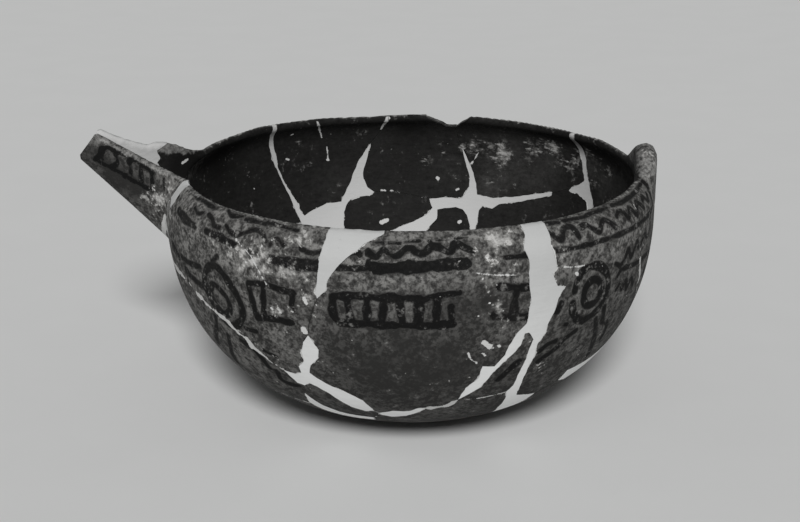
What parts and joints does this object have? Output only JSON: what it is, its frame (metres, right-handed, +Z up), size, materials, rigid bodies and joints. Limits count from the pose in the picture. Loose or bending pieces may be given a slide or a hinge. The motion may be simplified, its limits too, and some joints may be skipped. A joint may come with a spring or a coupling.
{
  "type": "spouted bowl",
  "caption": "Round painted pottery bowl with an inturned rim, an open tapering trough spout on one side and an upright rim lug opposite, mended from sherds with plaster fills.",
  "frame": {"origin": "centre of the small flat area that the bowl rests on, on the axis of the bowl", "axes": "+Z up along the axis of the bowl; +X towards the rim lug, so the spout points to -X; +Y away from the side that the picture shows"},
  "size_m": [0.2957, 0.25, 0.1441],
  "materials": {
    "painted_clay": "worn dark paint on matte, slightly smoothed clay",
    "plaster": "matte pale plaster"
  },
  "bodies": {
    "root": {"sherd_rim_front": "painted_clay", "sherd_rim_front_left": "painted_clay", "sherd_rim_front_right": "painted_clay", "sherd_rim_lug": "painted_clay", "sherd_rim_back_right": "painted_clay", "sherd_rim_back": "painted_clay", "sherd_rim_back_left": "painted_clay", "sherd_rim_spout_stub": "painted_clay", "sherd_wall_left": "painted_clay", "sherd_wall_left_back": "painted_clay", "sherd_wall_back": "painted_clay", "sherd_wall_back_small": "painted_clay", "sherd_wall_back_right": "painted_clay", "sherd_wall_right": "painted_clay", "sherd_wall_front_narrow": "painted_clay", "sherd_base": "painted_clay", "sherd_spout": "painted_clay", "fill_spout_root": "plaster", "fill_front_left": "plaster", "fill_lower_left": "plaster", "fill_base_left": "plaster", "fill_base_front": "plaster", "fill_front_right": "plaster", "fill_right": "plaster", "fill_back_right": "plaster", "fill_back": "plaster", "fill_back_left": "plaster", "fill_spout_wall": "plaster"}
  },
  "joints": []
}
